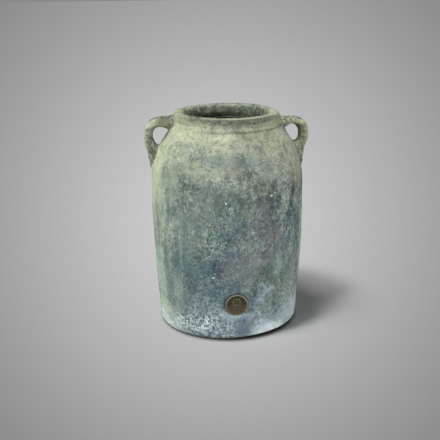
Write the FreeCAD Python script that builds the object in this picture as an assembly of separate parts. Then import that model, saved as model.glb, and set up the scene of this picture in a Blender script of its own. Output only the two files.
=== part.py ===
import FreeCAD
import Part
import math
import os

# A tall earthenware storage jar of the pithos kind, with two small lug handles and a round metal
# plate near the foot. The potter makes it in sections while the clay is soft and lutes them
# together before firing: a flat floor slab, a tall wall that swells to a belly and turns in to a
# sloping shoulder, a thick collar with a rolled lip, and two pulled handles. The metal plate is
# bedded on the fired wall in a thin pad of adhesive.
#
# Millimetres. The origin is the centre of the base, +Z is up and -Y is the side with the plate.
# The handles stand on the X axis. A half profile is drawn in the XZ plane, where X is a radius.

# Floor and lower wall
foot_radius = 144.4
foot_round = 12.0
floor_thickness = 16.0
wall_thickness = 13.0
heel_bevel = 11.0
lower_wall_rise = 140.0
lower_wall_flare = 7.8

# Belly and shoulder, each stretch by how far it rises and how far it comes out or turns in
belly_rise = 172.0
belly_gain = 0.8
shoulder_bend_rise = 56.0
shoulder_bend_inset = 15.5
shoulder_slope_rise = 42.5
shoulder_slope_inset = 31.0

# Collar and lip
collar_height = 27.5
collar_step = 1.0
collar_bulge = 2.5
lip_outer_inset = 12.0
lip_outer_drop = 15.0
lip_land = 0.5
lip_inner_round = 6.5

# What the two hand-pulled handles share. Each leaves the collar level, bends down round the
# finger gap and is smeared onto the shoulder.
handle_width = 28.0
handle_bend = 23.5
handle_overhang = 3.4
handle_root_flare = 5.0
handle_root_width = 38.0
handle_root_bite = 7.0
handle_side_inset = 0.8
handle_heel_thickness = 24.0
handle_heel_width = 33.0
handle_heel_inset = 7.4
handle_heel_drop = 2.0
handle_tail_thickness = 20.0
handle_tail_width = 36.0
handle_tail_rise = 19.0
handle_tail_bury = 12.0

# How the two differ: height of the level arm above the collar's seat, and its thickness above
# and beside the finger gap
right_arm_rise = 2.5
right_arm_thickness = 15.5
right_grip_thickness = 20.0
left_arm_rise = 5.5
left_arm_thickness = 20.5
left_grip_thickness = 17.5

# Lean of the handle's run below the level, in degrees, and how finely its sections are spaced
grip_lean = 90
side_lean = 94
heel_lean = 105
tail_lean = 106
arm_steps = 4
bend_steps = 4
tail_steps = 4

# Metal plate, and the adhesive pad between it and the curved wall
plate_height = 82.5
plate_radius = 22.5
plate_thickness = 1.7
plate_rim_width = 2.8
plate_rim_height = 1.0
plate_rim_bevel = 0.4
plate_crown_rise = 0.5
plate_crown_gap = 3.2
bead_count = 24
bead_radius = 0.9
bead_height = 0.6
bead_top_radius = 0.5
bead_margin = 0.5
pad_thickness = 0.5
pad_margin = 1.2

# Points of the outline that follow from the sizes above, as (radius, height)
lower_wall_top = (foot_radius + lower_wall_flare, lower_wall_rise)
shoulder_start = (lower_wall_top[0] + belly_gain, lower_wall_top[1] + belly_rise)
shoulder_bend = (shoulder_start[0] - shoulder_bend_inset, shoulder_start[1] + shoulder_bend_rise)
collar_seat = (shoulder_bend[0] - shoulder_slope_inset, shoulder_bend[1] + shoulder_slope_rise)
overall_height = collar_seat[1] + collar_height
collar_foot_radius = collar_seat[0] - collar_step
collar_radius = collar_foot_radius + collar_bulge
mouth_radius = collar_radius - lip_outer_inset - lip_land - lip_inner_round

UP = FreeCAD.Vector(0, 0, 1)
OUTWARDS = FreeCAD.Vector(1, 0, 0)
ORIGIN = FreeCAD.Vector(0, 0, 0)
FULL_TURN = 360
HALF_TURN = 180


# Curves of the half profile

def at(radius, height):
    """A point of the half profile."""
    return FreeCAD.Vector(radius, 0, height)


def line(start, end):
    """A straight edge."""
    return Part.LineSegment(start, end).toShape()


def arc_end_direction(start, direction, end):
    """The direction in which an arc that leaves start along direction arrives at end."""
    chord = (end - start).normalize()
    return chord * (2 * direction.dot(chord)) - direction


def tangent_arc(start, direction, end):
    """A circular arc that leaves start along direction and arrives at end."""
    chord = end - start
    turned_by = direction.getAngle(chord)
    sideways = direction - chord * (direction.dot(chord) / chord.dot(chord))
    bulge = chord.Length / 2 * math.tan(turned_by / 2)
    middle = (start + end) / 2 + sideways.normalize() * bulge
    return Part.Arc(start, middle, end).toShape()


def revolved(edges):
    """The solid that a closed half profile sweeps round the jar's axis."""
    face = Part.Face(Part.Wire(Part.__sortEdges__(edges)))
    turned = face.revolve(ORIGIN, UP, FULL_TURN)
    return turned if turned.ShapeType == "Solid" else turned.Solids[0]


# The wall's outline

def wall_nodes(inset):
    """Points and directions of the wall's outline from the floor's level to the collar seat, moved
    inwards by inset. The stretch from the first to the second is straight and the others are arcs
    that run on smoothly, so the outlines for any two insets are parallel."""
    points = [at(foot_radius, 0), at(*lower_wall_top), at(*shoulder_start)]
    points += [at(*shoulder_bend), at(*collar_seat)]
    straight = (points[1] - points[0]).normalize()
    directions = [straight, straight]
    for start, end in zip(points[1:], points[2:]):
        directions.append(arc_end_direction(start, directions[-1], end))
    moved = []
    for point, direction in zip(points, directions):
        normal = FreeCAD.Vector(direction.z, 0, -direction.x)
        moved.append((point - normal * inset, direction))
    return moved


def wall_edges(nodes):
    """The edges through the nodes of the wall's outline."""
    edges = [line(nodes[0][0], nodes[1][0])]
    for (start, direction), (end, _) in zip(nodes[1:], nodes[2:]):
        edges.append(tangent_arc(start, direction, end))
    return edges


def on_lower_wall(nodes, height):
    """The point of the straight lower wall at a height."""
    start, direction = nodes[0]
    return start + direction * ((height - start.z) / direction.z)


def raised_start(nodes, height):
    """The same nodes, with the straight first stretch starting at height."""
    return [(on_lower_wall(nodes, height), nodes[0][1])] + nodes[1:]


# The collar's outline

def collar_foot():
    """Where the collar's outer face meets its seat."""
    return at(collar_foot_radius, collar_seat[1])


def lip_land_outer():
    """The outer end of the narrow level land along the top of the lip."""
    return at(collar_radius - lip_outer_inset, overall_height)


def collar_outer_edges():
    """The collar's outer face, from its seat up over the lip to the land."""
    brow = at(collar_radius, overall_height - lip_outer_drop)
    return [tangent_arc(brow, -UP, collar_foot()), tangent_arc(brow, UP, lip_land_outer())]


def jar_form():
    """The jar's outer form, filled. It trims the handles and the pad to the faces they sit on."""
    nodes = wall_nodes(0)
    land = lip_land_outer()
    top_centre = at(0, overall_height)
    edges = [line(ORIGIN, nodes[0][0]), *wall_edges(nodes), line(nodes[-1][0], collar_foot())]
    edges += [*collar_outer_edges(), line(land, top_centre), line(top_centre, ORIGIN)]
    return revolved(edges)


# The clay sections

def floor_slab():
    """The flat slab that the wall is built on, with a rounded foot edge."""
    nodes = wall_nodes(0)
    rim = on_lower_wall(nodes, floor_thickness)
    round_end = on_lower_wall(nodes, foot_round)
    round_start = at(foot_radius - foot_round, 0)
    centre_top = at(0, floor_thickness)
    edges = [line(ORIGIN, round_start), tangent_arc(round_start, OUTWARDS, round_end)]
    edges += [line(round_end, rim), line(rim, centre_top), line(centre_top, ORIGIN)]
    return revolved(edges)


def body_wall():
    """The wall from the slab to the collar seat, of even thickness, with a bevel of clay pressed
    into the inner corner at the floor."""
    outer = raised_start(wall_nodes(0), floor_thickness)
    inner = raised_start(wall_nodes(wall_thickness), floor_thickness + heel_bevel)
    heel = at(inner[0][0].x - heel_bevel, floor_thickness)
    throat = at(mouth_radius, collar_seat[1])
    edges = [*wall_edges(outer), *wall_edges(inner)]
    edges += [line(outer[0][0], heel), line(heel, inner[0][0])]
    edges += [line(inner[-1][0], throat), line(throat, outer[-1][0])]
    return revolved(edges)


def collar():
    """The thick upright collar, with a straight throat and a rolled lip."""
    throat_foot = at(mouth_radius, collar_seat[1])
    throat_top = at(mouth_radius, overall_height - lip_inner_round)
    land_inner = at(mouth_radius + lip_inner_round, overall_height)
    edges = [line(collar_foot(), throat_foot), line(throat_foot, throat_top)]
    edges += [tangent_arc(throat_top, UP, land_inner), line(land_inner, lip_land_outer())]
    return revolved(edges + collar_outer_edges())


# The handles

def strap_section(radius, height, lean, thickness, width):
    """An oval section across a handle, where its run is lean degrees below the level."""
    angle = math.radians(lean)
    centre = at(radius, height)
    across = FreeCAD.Vector(0, width / 2, 0)
    through = FreeCAD.Vector(math.sin(angle), 0, math.cos(angle)) * (thickness / 2)
    return Part.Wire([Part.Ellipse(centre + across, centre + through, centre).toShape()])


def part_way(first, last, share):
    """The values of a section that lies share of the way from the first to the last."""
    return [a + (b - a) * share for a, b in zip(first, last)]


def handle_sections(arm_rise, arm, grip):
    """The sections of a handle on +X, from inside the collar round to the tail on the wall. The
    level arm is arm thick and the upright grip is grip thick. A section is its radius, height,
    lean, thickness and width."""
    top = collar_seat[1] + arm_rise
    outermost = shoulder_start[0] + handle_overhang
    bend_radius = outermost - handle_bend
    bend_height = top - handle_bend
    heel_height = shoulder_bend[1] - handle_heel_drop
    root_radius = collar_foot_radius - handle_root_bite
    root = (root_radius, top - handle_root_flare / 2, 0, arm + handle_root_flare, handle_root_width)
    arm_end = (bend_radius, top, 0, arm, handle_width)
    grip_start = (outermost, bend_height, grip_lean, grip, handle_width)
    side_radius = outermost - handle_side_inset
    side_height = (bend_height + heel_height) / 2
    side = (side_radius, side_height, side_lean, (grip + handle_heel_thickness) / 2, handle_width)
    heel_radius = outermost - handle_heel_inset
    heel = (heel_radius, heel_height, heel_lean, handle_heel_thickness, handle_heel_width)
    tail_radius = shoulder_start[0] - handle_tail_bury
    tail_height = shoulder_start[1] + handle_tail_rise
    tail = (tail_radius, tail_height, tail_lean, handle_tail_thickness, handle_tail_width)
    sections = [part_way(root, arm_end, step / arm_steps) for step in range(arm_steps)]
    sections.append(arm_end)
    for step in range(1, bend_steps):
        lean = grip_lean * step / bend_steps
        radius = bend_radius + handle_bend * math.sin(math.radians(lean))
        height = bend_height + handle_bend * math.cos(math.radians(lean))
        sizes = part_way(arm_end, grip_start, step / bend_steps)[3:]
        sections.append((radius, height, lean, *sizes))
    sections += [grip_start, side]
    for step in range(tail_steps):
        sections.append(part_way(heel, tail, step / tail_steps))
    sections.append(tail)
    return [strap_section(*section) for section in sections]


def handle(turn, sections):
    """A pulled handle through its sections, trimmed to its seat and turned round the jar."""
    strap = Part.makeLoft(sections, True, False, False, 3)
    seated = strap.cut(jar_form())
    largest = max(seated.Solids, key=lambda solid: solid.Volume)
    largest.rotate(ORIGIN, UP, turn)
    return largest


# The metal plate and its pad

def plate_seat():
    """Where the wall carries the plate's centre, turned so that local +Z leaves the wall squarely
    and local +Y runs up the wall."""
    nodes = wall_nodes(0)
    seat = on_lower_wall(nodes, plate_height)
    run = nodes[0][1]
    outwards = FreeCAD.Vector(0, -run.z, -run.x)
    up_the_wall = FreeCAD.Vector(0, -run.x, run.z)
    turn = FreeCAD.Rotation(OUTWARDS, up_the_wall, outwards, "ZXY")
    return FreeCAD.Placement(FreeCAD.Vector(0, -seat.x, seat.z), turn)


def bevelled_disc(radius, height, bevel, base):
    """A short round disc with a bevelled top edge."""
    lower = Part.makeCylinder(radius, height - bevel, base)
    upper = Part.makeCone(radius, radius - bevel, bevel, base + UP * (height - bevel))
    return lower.fuse(upper)


def plate():
    """A struck disc with a raised rim, a ring of beads inside it and a low plain crown."""
    back = at(0, pad_thickness)
    field = pad_thickness + plate_thickness
    rim_inner = plate_radius - plate_rim_width
    bead_circle = rim_inner - bead_margin - bead_radius
    crown_radius = bead_circle - plate_crown_gap
    disc = bevelled_disc(plate_radius, plate_thickness + plate_rim_height, plate_rim_bevel, back)
    well = Part.makeCone(rim_inner, rim_inner + plate_rim_bevel, plate_rim_height, at(0, field))
    crown = Part.makeCone(crown_radius, crown_radius - plate_crown_rise, plate_crown_rise, at(0, field))
    beads = []
    for number in range(bead_count):
        angle = math.radians(FULL_TURN / bead_count * number)
        place = FreeCAD.Vector(bead_circle * math.cos(angle), bead_circle * math.sin(angle), field)
        beads.append(Part.makeCone(bead_radius, bead_top_radius, bead_height, place))
    struck = disc.cut(well).fuse([crown, *beads]).removeSplitter()
    struck.Placement = plate_seat()
    return struck.Solids[0]


def adhesive_pad():
    """The pad behind the plate: flat in front and shaped to the wall behind."""
    depth = plate_radius / 2
    pad = Part.makeCylinder(plate_radius - pad_margin, depth + pad_thickness, at(0, -depth))
    pad.Placement = plate_seat()
    return pad.cut(jar_form()).Solids[0]


# Files

def write(name, shape):
    """Checks one piece and writes it to its own file."""
    if not shape.isValid() or shape.Volume <= 0:
        raise ValueError(name + " is not a sound solid")
    shape.exportStep(os.path.join("parts", name + ".step"))
    box = shape.optimalBoundingBox(False)
    print("%-14s volume %9.0f  x %7.2f to %6.2f  y %7.2f to %6.2f  z %6.2f to %6.2f" % (
        name, shape.Volume, box.XMin, box.XMax, box.YMin, box.YMax, box.ZMin, box.ZMax))


os.makedirs("parts", exist_ok=True)
right_sections = handle_sections(right_arm_rise, right_arm_thickness, right_grip_thickness)
left_sections = handle_sections(left_arm_rise, left_arm_thickness, left_grip_thickness)
write("floor_slab", floor_slab())
write("body_wall", body_wall())
write("neck_collar", collar())
write("right_handle", handle(0, right_sections))
write("left_handle", handle(HALF_TURN, left_sections))
write("adhesive_pad", adhesive_pad())
write("metal_plate", plate())
print("overall height", overall_height, "mouth radius", mouth_radius)
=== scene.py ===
# %% [markdown]
# # A weathered pithos
# A pithos is a storage jar that a potter builds in sections and lutes together: a floor slab, a tall
# wall, a thick collar and two pulled handles. This one is low-fired clay under an old lime wash, so
# nothing on it is quite smooth or quite round, and no two hands' breadths of it have one colour.
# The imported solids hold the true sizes. Here each clay section gets a dense skin with hand-made
# unevenness and a patina, and the round metal plate gets its dark struck finish.

# %% Load the frame
import math
import bmesh
import bpy
import numpy as np
from mathutils import Matrix, Vector, noise
from mathutils.bvhtree import BVHTree


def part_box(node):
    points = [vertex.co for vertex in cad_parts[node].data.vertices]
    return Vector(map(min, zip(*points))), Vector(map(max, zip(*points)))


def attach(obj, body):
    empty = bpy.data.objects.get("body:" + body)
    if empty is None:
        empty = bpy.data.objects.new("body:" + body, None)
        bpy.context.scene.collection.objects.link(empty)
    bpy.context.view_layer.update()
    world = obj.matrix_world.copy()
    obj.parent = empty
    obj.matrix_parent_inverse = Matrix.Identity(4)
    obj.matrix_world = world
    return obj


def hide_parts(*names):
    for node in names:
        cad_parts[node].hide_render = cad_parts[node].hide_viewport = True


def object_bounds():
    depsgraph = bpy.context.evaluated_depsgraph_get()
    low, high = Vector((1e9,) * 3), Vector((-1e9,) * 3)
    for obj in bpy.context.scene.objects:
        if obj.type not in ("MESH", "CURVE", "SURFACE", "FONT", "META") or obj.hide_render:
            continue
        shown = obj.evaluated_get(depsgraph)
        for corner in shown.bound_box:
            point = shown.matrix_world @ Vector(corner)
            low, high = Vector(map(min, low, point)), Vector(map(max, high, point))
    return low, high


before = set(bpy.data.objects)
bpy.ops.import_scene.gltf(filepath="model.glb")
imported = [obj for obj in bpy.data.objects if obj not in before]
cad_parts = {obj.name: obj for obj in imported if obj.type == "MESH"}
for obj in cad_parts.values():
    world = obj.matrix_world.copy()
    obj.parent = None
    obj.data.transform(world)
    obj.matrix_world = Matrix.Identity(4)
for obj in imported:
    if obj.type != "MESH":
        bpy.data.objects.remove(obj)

cad_box = [list(corner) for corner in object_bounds()]
print("packed nodes:", ", ".join(sorted(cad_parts)))

# %% [markdown]
# ## Read the round outlines
# The wall, the collar and the slab are round, so one half outline says everything about their form.
# Their outlines could be typed in again, but then they could drift from the solids. It is safer to
# read them back: every vertex of a round solid becomes a radius and a height. Of these, the
# outermost ones make a line that bends only one way, and so do the innermost ones of the throat.

# %% Outlines as chains of radius and height
def half_profile(node):
    """Radius and height of every vertex of a round CAD node."""
    places = np.array([vertex.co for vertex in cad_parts[node].data.vertices])
    return np.round(np.c_[np.hypot(places[:, 0], places[:, 1]), places[:, 2]], 6)


def chain(points, side):
    """The outer (side 1) or inner (side -1) line of a half profile, from the foot up."""
    line = []
    for radius, height in sorted(points.tolist(), key=lambda point: (point[1], -side * point[0])):
        if line and height == line[-1][1]:
            continue
        while len(line) > 1:
            (r0, z0), (r1, z1) = line[-2:]
            if side * ((z1 - z0) * (radius - r1) - (r1 - r0) * (height - z1)) < 0:
                break
            line.pop()
        line.append((radius, height))
    return np.array(line)


wall_outline = chain(half_profile("body_wall"), 1)
collar_outline = chain(half_profile("neck_collar"), 1)
throat_outline = chain(half_profile("neck_collar"), -1)
foot_outline = chain(half_profile("floor_slab"), 1)
for title, line in (("foot", foot_outline), ("wall", wall_outline), ("collar", collar_outline)):
    print("%-7s %2d points, widest radius %.1f mm" % (title, len(line), 1000 * line[:, 0].max()))

# %% [markdown]
# ## Even rows for a dense skin
# The chains have few points where the outline is nearly straight. A skin that will carry dents and
# crust needs rows at an even spacing, so a smooth curve goes through the points of each chain and is
# walked in equal steps. Each row also needs to know which way its surface faces.

# %% Resample an outline
row_spacing = 0.0024


def even_rows(points, spacing):
    """Points about spacing apart on a smooth curve through the given ones."""
    steps = np.linalg.norm(np.diff(points, axis=0), axis=1)
    slopes = np.diff(points, axis=0) / steps[:, None]
    behind, ahead = steps[:-1, None], steps[1:, None]
    inner_slopes = (slopes[1:] * behind + slopes[:-1] * ahead) / (behind + ahead)
    tangents = np.vstack([slopes[:1], inner_slopes, slopes[-1:]])
    along = np.r_[0, np.cumsum(steps)]
    wanted = np.linspace(0, along[-1], round(along[-1] / spacing) + 1)
    part = np.clip(np.searchsorted(along, wanted, side="right") - 1, 0, len(steps) - 1)
    length = steps[part][:, None]
    t = (wanted - along[part])[:, None] / length
    leaving = points[part] * (1 + 2 * t) + length * tangents[part] * t
    arriving = points[part + 1] * (3 - 2 * t) - length * tangents[part + 1] * (1 - t)
    return leaving * (1 - t) ** 2 + arriving * t ** 2


def facing(line):
    """The direction, as radius and height, in which the outer side of a rising line faces."""
    run = np.gradient(line, axis=0)
    run /= np.linalg.norm(run, axis=1)[:, None]
    return np.c_[run[:, 1], -run[:, 0]]


wall_rows = even_rows(wall_outline, row_spacing)
print("the wall's outer side has", len(wall_rows), "rows")

# %% [markdown]
# ## The unevenness of hand-built clay
# The wall of the real jar waves slowly where the sections were joined, dips where a hand pressed it
# and is crusted with lime. All of that is one field in space: ask it about a place and it says how
# far the clay stands off the true form there. Because sections share the field, their skins meet
# without a step. The plate was bedded on a patch rubbed flat, so the field is calmed around it.

# %% A field of unevenness
slow_wave = 0.0012
slow_wave_size = 0.110
hand_dent = 0.0009
hand_dent_size = 0.034
crust_lump = 0.0007
crust_lump_size = 0.010
crust_fade, crust_step, crust_octaves = 0.7, 2.0, 3
mean_set_back = 0.0008
plate_low, plate_high = (Vector(corner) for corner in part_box("metal_plate"))
plate_centre = (plate_low + plate_high) / 2
plate_radius = (plate_high.x - plate_low.x) / 2
calm_within, calm_until = 0.026, 0.046


def smooth_step(value, low, high):
    """0 below low, 1 above high, and a soft rise between them."""
    t = min(max((value - low) / (high - low), 0), 1)
    return t * t * (3 - 2 * t)


def unevenness(place):
    """How far the clay stands off the true form at a place."""
    offset = slow_wave * noise.noise(place / slow_wave_size)
    offset += hand_dent * noise.noise(place / hand_dent_size)
    offset += crust_lump * noise.fractal(place / crust_lump_size, crust_fade, crust_step, crust_octaves)
    calm = smooth_step((place - plate_centre).length, calm_within, calm_until)
    return (offset - mean_set_back) * calm


belly_radius, belly_height = wall_outline[wall_outline[:, 0].argmax()]
belly_front = Vector((0, -belly_radius, belly_height))
print("the clay stands off by %.2f mm at the crown of the belly" % (1000 * unevenness(belly_front)))

# %% [markdown]
# ## Smeared joints
# Where the potter luted a handle or the collar to the wall, a thumb dragged clay over the joint, so
# the surfaces run into each other. Sculpting each joint would work, but a rule does it everywhere:
# clay that is nearer to its neighbour than the reach of the thumb swells towards it, most at the
# joint itself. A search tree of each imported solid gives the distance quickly.

# %% Distance to the neighbouring sections
handle_reach = 0.017
collar_reach = 0.018
thumb_raggedness = 0.35
smear_height_share = 0.25
solid_tree = {}
for node_name in ("body_wall", "neck_collar", "right_handle", "left_handle"):
    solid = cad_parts[node_name].data
    solid_tree[node_name] = BVHTree.FromPolygons(
        [vertex.co for vertex in solid.vertices], [face.vertices for face in solid.polygons])


def smear(place, neighbours):
    """How far the clay at a place swells towards its neighbours, given as node: reach."""
    swell = 0
    for neighbour, reach in neighbours.items():
        ragged = reach * (1 + thumb_raggedness * noise.noise(place / hand_dent_size))
        distance = solid_tree[neighbour].find_nearest(place, ragged)[3]
        if distance is not None:
            swell = max(swell, ragged * smear_height_share * (1 - distance / ragged) ** 2)
    return swell


print("search trees:", ", ".join(solid_tree))

# %% [markdown]
# ## The foot
# The foot edge was thumbed round, little at the left and much at the right front, where the jar
# seems to lift off the floor. It could be carved with a brush, but a rule is easier to change: a pull
# towards the axis that grows down to the floor. Places round the jar are told by their bearing, the
# angle to the right of the photographed front, which is turned a little from the frame's own.

# %% How the foot edge is drawn in
camera_turn = math.radians(6.2)
foot_edge_height = 0.030
foot_pull_most = 0.014
foot_pull_bearing = math.radians(28)
foot_pull_narrowness = 6


def bearing_of(place):
    """How far round to the right of the photographed front a place lies."""
    return math.atan2(place.x, -place.y) + camera_turn


def foot_pull(place):
    """How far the foot edge is drawn in towards the axis at a place."""
    low = max(1 - place.z / foot_edge_height, 0)
    side = 0.5 + 0.5 * math.cos(bearing_of(place) - foot_pull_bearing)
    return foot_pull_most * side ** foot_pull_narrowness * low * low


print("foot drawn in by up to %.0f mm" % (1000 * foot_pull_most))

# %% [markdown]
# ## How the collar sits
# The collar was turned by eye. It stands a little narrower than the true form, and its lip dips
# towards the right front. Both changes start at nothing on the collar's seat, so that no step shows
# at the shoulder, and grow upwards.

# %% How the collar narrows and its lip dips
seat_height = wall_rows[-1, 1]
collar_slimming = 0.0020
slim_from_seat = 0.010
lip_dip_most = 0.0028
lip_dip_bearing = math.radians(40)
lip_dip_height = 0.430


def collar_shift(place):
    """How a place above the collar's seat moves: inwards, and down where the lip dips."""
    if place.z <= seat_height:
        return Vector()
    narrower = collar_slimming * smooth_step(place.z, seat_height, seat_height + slim_from_seat)
    side = 0.5 + 0.5 * math.cos(bearing_of(place) - lip_dip_bearing)
    dip = lip_dip_most * side * smooth_step(place.z, seat_height, lip_dip_height)
    return Vector((place.x, place.y, 0)).normalized() * -narrower - Vector((0, 0, dip))


print("lip dips by up to %.1f mm" % (1000 * lip_dip_most))

# %% [markdown]
# ## Rings that show and rings that hide
# A round section is a stack of rings. Rings that show take the unevenness and the smears, the inner
# ones a smaller share, since lime and hands worked on the outside. Rings inside a joint don't show.
# They are tucked a few millimetres into the next section, so that no light gets through however the
# skins wave.

# %% Rings
tuck = 0.005
inner_share = 0.6
share_column, inside_column = 4, 5


def skin(line, outwards, share, inside):
    """Rings of a surface that shows: where it is, how it faces, its share of unevenness and
    whether it is painted like the inside (1) or the outside (0)."""
    count = len(line)
    return np.c_[line, outwards, np.full(count, share), np.full(count, inside)]


def hidden(*points):
    """Rings that lie inside a joint."""
    return np.array([(radius, height, 0, 0, 0, 0) for radius, height in points])


print("a ring is written in", hidden((0.1, 0.1)).shape[1], "numbers")

# %% [markdown]
# ## Put a clay piece on the frame
# Every clay piece ends the same way. Its points are kept inside the box of the imported solids, since
# dents may not make the jar bigger. Its inner points are marked, so that the finish can tell inside
# from outside. Then it is shaded smoothly and put on the body it rides on, and the solid it stands for
# is hidden.

# %% Finish a clay mesh
crease_angle = math.radians(50)


def inside_box(places):
    """The places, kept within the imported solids' box."""
    return np.clip(places, cad_box[0], cad_box[1])


def finish_mesh(piece, inside, stands_for):
    """Marks the inner faces, shades a clay piece smoothly and puts it on the frame."""
    mesh = piece.data
    mesh.attributes.new("inner_face", "FLOAT", "POINT").data.foreach_set("value", inside)
    mesh.shade_smooth()
    mesh.set_sharp_from_angle(angle=crease_angle)
    bpy.context.scene.collection.objects.link(piece)
    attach(piece, "root")
    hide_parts(stands_for)
    print("%-12s %6d faces" % (piece.name, len(mesh.polygons)))


print("creases sharper than %.0f degrees stay sharp" % math.degrees(crease_angle))

# %% [markdown]
# ## The lathe
# A potter's section is turned, and so is its mesh: each ring is repeated round the axis and
# neighbours are joined by four-sided faces. A Screw modifier could do it, but here every point is
# moved by its own unevenness on the way. The foot's pull works on outer rings only.

# %% Turn a round section
around = 400
outer_side_from = foot_outline[0, 0] * 0.9


def turned_section(name, stands_for, rings, neighbours, capped):
    """A round clay section through its rings. A capped one ends in points on the axis."""
    turns = np.linspace(0, 2 * math.pi, around, endpoint=False)
    rays = np.c_[np.cos(turns), np.sin(turns)]
    places = []
    for radius, height, out, up, share, _ in rings:
        for cosine, sine in rays:
            place = Vector((radius * cosine, radius * sine, height))
            if share:
                stand_off = share * unevenness(place) + smear(place, neighbours)
                place += Vector((out * cosine, out * sine, up)) * stand_off
            drawn_in = foot_pull(place) if radius > outer_side_from else 0
            places.append(place - Vector((cosine, sine, 0)) * drawn_in + collar_shift(place))
    faces = []
    count = len(rings)
    for row in range(count - 1 if capped else count):
        upper = (row + 1) % count
        for column in range(around):
            beside = (column + 1) % around
            faces.append((row * around + column, row * around + beside,
                          upper * around + beside, upper * around + column))
    inside = np.repeat(rings[:, inside_column], around)
    if capped:
        for row in (0, count - 1):
            places.append(Vector((0, 0, rings[row, 1])))
            ring = [row * around + column for column in range(around)]
            tip = len(places) - 1
            for start, end in zip(ring, ring[1:] + ring[:1]):
                faces.append((tip, end, start) if row == 0 else (tip, start, end))
        inside = np.r_[inside, 0, 1]
    mesh = bpy.data.meshes.new(name)
    mesh.from_pydata(inside_box(np.array(places)).tolist(), [], faces)
    finish_mesh(bpy.data.objects.new(name, mesh), inside, stands_for)


print("one step round the belly is %.1f mm" % (1000 * 2 * math.pi * belly_radius / around))

# %% [markdown]
# ## Floor slab
# The slab carries the rounded foot, and its top is the floor seen down through the mouth. Soft clay
# spread under the jar's weight, so the foot edge is made fuller, most at the floor. The lowest row of
# the edge takes no unevenness, so that the jar stands flat.

# %% Floor slab
foot_fullness = 0.0060
underside_shares = (0.05, 0.4, 0.8, 0.97)
floor_from_share, floor_until, floor_rows = 0.95, 0.01, 20
foot_rows = even_rows(foot_outline, row_spacing / 2)
foot_rows[:, 0] += foot_fullness * (1 - foot_rows[:, 1] / foot_rows[-1, 1]) ** 2
slab_top = foot_rows[-1, 1]
underside = hidden(*((share * foot_rows[0, 0], 0) for share in underside_shares))
foot_skin = skin(foot_rows, facing(foot_rows), 1, 0)
foot_skin[0, share_column] = 0
floor_radii = np.linspace(foot_rows[-1, 0] * floor_from_share, floor_until, floor_rows)
floor_line = np.c_[floor_radii, np.full(floor_rows, slab_top)]
floor_skin = skin(floor_line, np.tile((0, 1), (floor_rows, 1)), inner_share, 1)
turned_section("clay_foot", "floor_slab", np.vstack([underside, foot_skin, floor_skin]), {}, True)

# %% [markdown]
# ## Wall
# The potter pulls the wall to an even thickness, so its inner side is its outer side set back by the
# clay's thickness. Little of the inside shows, so every third row is enough there. A bevelled heel of
# clay fills the corner between wall and slab.

# %% Wall
wall_thickness = 0.013
heel_bevel = 0.011
every_third = 3
wall_out = facing(wall_rows)
inner_rows = (wall_rows - wall_out * wall_thickness)[::-every_third]
inner_out = -wall_out[::-every_third]
clear = inner_rows[:, 1] > slab_top + heel_bevel
inner_rows, inner_out = inner_rows[clear], inner_out[clear]
throat_radius = throat_outline[0, 0]
heel = (inner_rows[-1, 0] - heel_bevel, slab_top)
wall_rings = np.vstack([
    skin(wall_rows, wall_out, 1, 0),
    hidden((wall_rows[-1, 0] - tuck, seat_height)),
    skin(np.array([(throat_radius, seat_height)]), np.array([(-1.0, 0.0)]), inner_share, 1),
    skin(inner_rows, inner_out, inner_share, 1),
    skin(np.array([heel]), np.array([(-0.7, 0.7)]), inner_share, 1),
    hidden((heel[0] + tuck, slab_top - tuck), (wall_rows[0, 0] - 2 * tuck, slab_top - tuck))])
wall_neighbours = {
    "right_handle": handle_reach, "left_handle": handle_reach, "neck_collar": collar_reach}
turned_section("clay_wall", "body_wall", wall_rings, wall_neighbours, False)

# %% [markdown]
# ## Collar
# The collar is a fat roll with a straight throat. Pressing the roll from above pushed clay out at the
# outer corner of the lip, so rows that face outwards and upwards alike are moved most. The paint of
# the outside reaches a little way down into the throat before the dark inside begins.

# %% Collar
lip_fullness = 0.0042
lip_paint_depth = 0.0015
collar_rows = even_rows(collar_outline, row_spacing / 1.5)
collar_out = facing(collar_rows)
corner_share = 2 * np.clip(collar_out[:, 0], 0, 1) * np.clip(collar_out[:, 1], 0, 1)
collar_rows += collar_out * (lip_fullness * corner_share)[:, None]
throat_rows = even_rows(throat_outline, row_spacing / 1.2)[::-1]
lip_inner = skin(throat_rows, -facing(throat_rows), 1, 0)
depth_below_lip = throat_rows[0, 1] - throat_rows[:, 1]
lip_inner[:, inside_column] = np.clip((depth_below_lip - lip_paint_depth) / lip_paint_depth, 0, 1)
tucked_height = seat_height - tuck
collar_rings = np.vstack([
    skin(collar_rows, facing(collar_rows), 1, 0),
    lip_inner,
    hidden((throat_radius + tuck, tucked_height), (collar_rows[0, 0] - tuck, tucked_height))])
collar_neighbours = {
    "right_handle": handle_reach, "left_handle": handle_reach, "body_wall": collar_reach}
turned_section("clay_collar", "neck_collar", collar_rings, collar_neighbours, False)

# %% [markdown]
# ## Press a handle's seat into the wall
# The potter presses the ends of a handle into soft clay, so its seats lie a little below the surface
# round them. Left alone, a seat could float over a dip in the wall. Points that are nearly touching a
# neighbour are pushed into it, the closest ones most.

# %% How a seat is pressed in
seat_press = 0.005
seat_zone = 0.0016
collar_share = 0.7
handle_neighbours = {"body_wall": handle_reach, "neck_collar": handle_reach * collar_share}


def pressed(place):
    """How a point of a handle's seat moves into the clay below it."""
    move = Vector()
    for neighbour in handle_neighbours:
        _, normal, _, distance = solid_tree[neighbour].find_nearest(place, seat_zone)
        if distance is not None:
            move -= normal * seat_press * (1 - distance / seat_zone)
    return move


print("seats are pressed in by up to %.0f mm" % (1000 * seat_press))

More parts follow.
